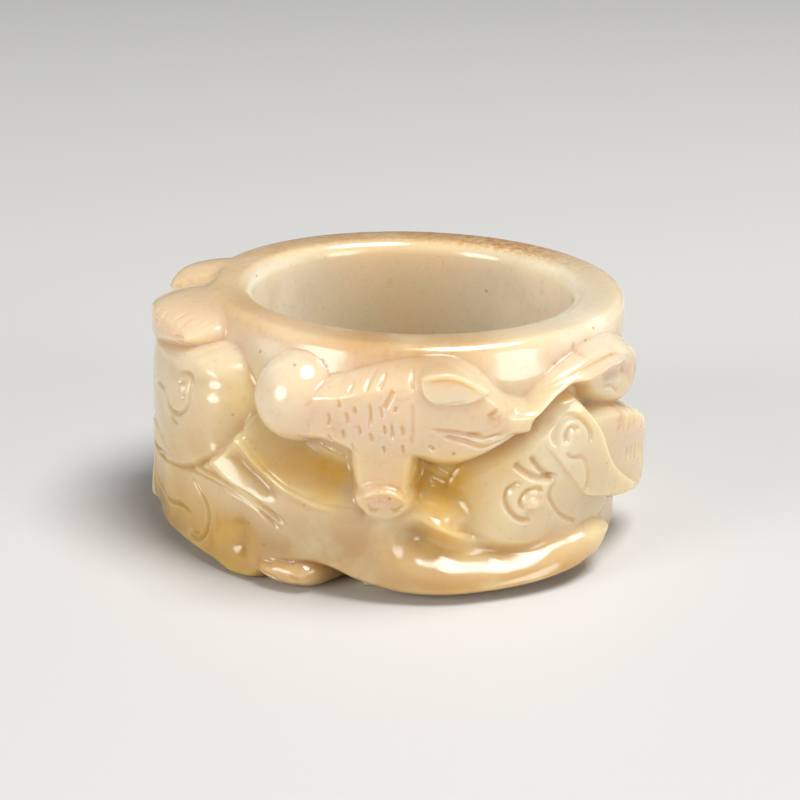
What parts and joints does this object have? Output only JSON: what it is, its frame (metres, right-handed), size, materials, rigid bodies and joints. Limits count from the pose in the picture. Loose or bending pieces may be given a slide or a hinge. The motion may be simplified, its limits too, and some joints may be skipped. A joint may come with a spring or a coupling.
{
  "type": "archer's thumb ring",
  "caption": "Short thick stone thumb ring for drawing a bow, with leaves and a long-tailed bird carved in high relief on its front and a plain back.",
  "frame": {"origin": "on the bore's axis at mid-height of the ring", "axes": "+Z along the bore axis, up as the ring stands on its foot; -Y towards the carved front"},
  "size_m": [0.0347, 0.0317, 0.0164],
  "materials": {
    "jade": "polished, translucent"
  },
  "bodies": {
    "root": {"thumb_ring": "jade"}
  },
  "joints": []
}
